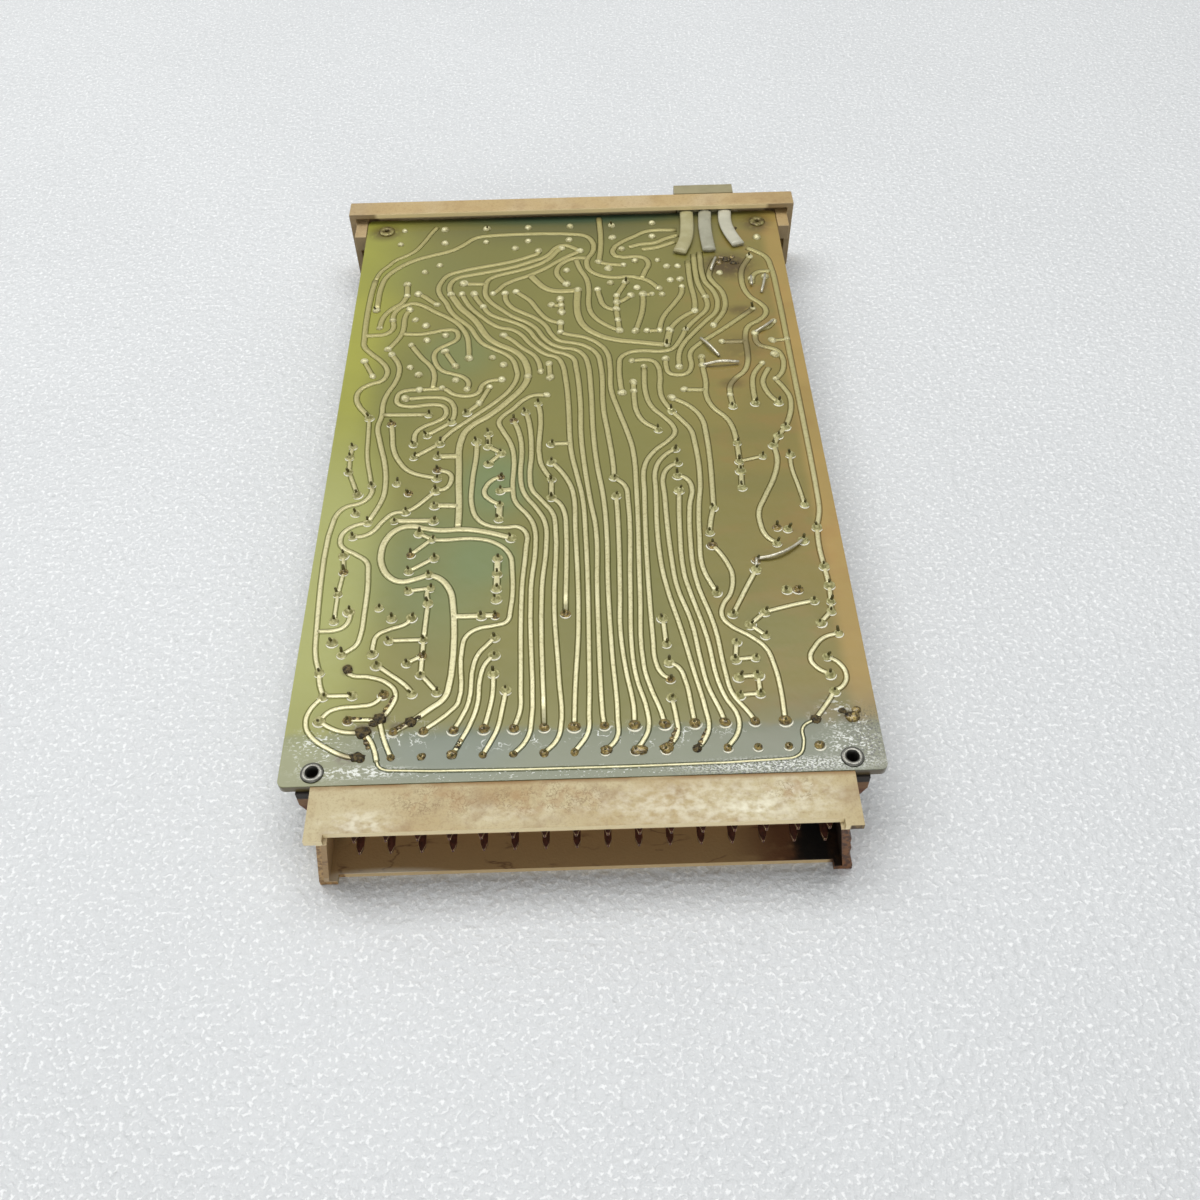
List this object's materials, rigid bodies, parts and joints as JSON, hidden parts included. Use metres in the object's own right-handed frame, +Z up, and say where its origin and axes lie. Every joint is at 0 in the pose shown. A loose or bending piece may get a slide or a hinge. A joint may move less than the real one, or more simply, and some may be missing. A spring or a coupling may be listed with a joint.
{
  "type": "industrial control board",
  "caption": "Plug-in control board lying solder side up, with an edge connector, a narrow moulded front panel, a test socket block and sleeved leads.",
  "frame": {"origin": "middle of the footprint on the plane the board lies on", "axes": "+X across the board's width, +Y from the connector to the front panel, +Z up from the component side to the solder side"},
  "size_m": [0.109, 0.1782, 0.0178],
  "materials": {
    "board_laminate": "glossy",
    "track_metal": "glossy",
    "solder": "satin",
    "tinned_wire": "satin",
    "connector_moulding": "matt",
    "contact_metal": "satin",
    "rivet_metal": "dull",
    "panel_moulding": "matt",
    "socket_moulding": "matt",
    "brass": "satin",
    "sleeve_plastic": "matt",
    "resistor_body": "glossy",
    "diode_glass": "glossy",
    "capacitor_sleeve": "glossy",
    "film_capacitor_body": "glossy",
    "transistor_body": "matt"
  },
  "bodies": {
    "root": {"circuit_board": "board_laminate", "solder_side_tracks": "track_metal", "solder_joints": "solder", "clinched_leads": "tinned_wire", "connector_housing": "connector_moulding", "contacts_upper_row": "contact_metal", "contacts_lower_row": "contact_metal", "connector_rivets": "rivet_metal", "front_panel": "panel_moulding", "panel_rivets": "rivet_metal", "test_socket_block": "socket_moulding", "test_jacks": "brass", "lead_sleeve_left": "sleeve_plastic", "lead_sleeve_middle": "sleeve_plastic", "lead_sleeve_right": "sleeve_plastic", "resistor_bodies": "resistor_body", "resistor_leads": "tinned_wire", "diode_bodies": "diode_glass", "diode_leads": "tinned_wire", "electrolytic_capacitors": "capacitor_sleeve", "electrolytic_leads": "tinned_wire", "film_capacitors": "film_capacitor_body", "transistors": "transistor_body", "transistor_leads": "tinned_wire"}
  },
  "joints": []
}
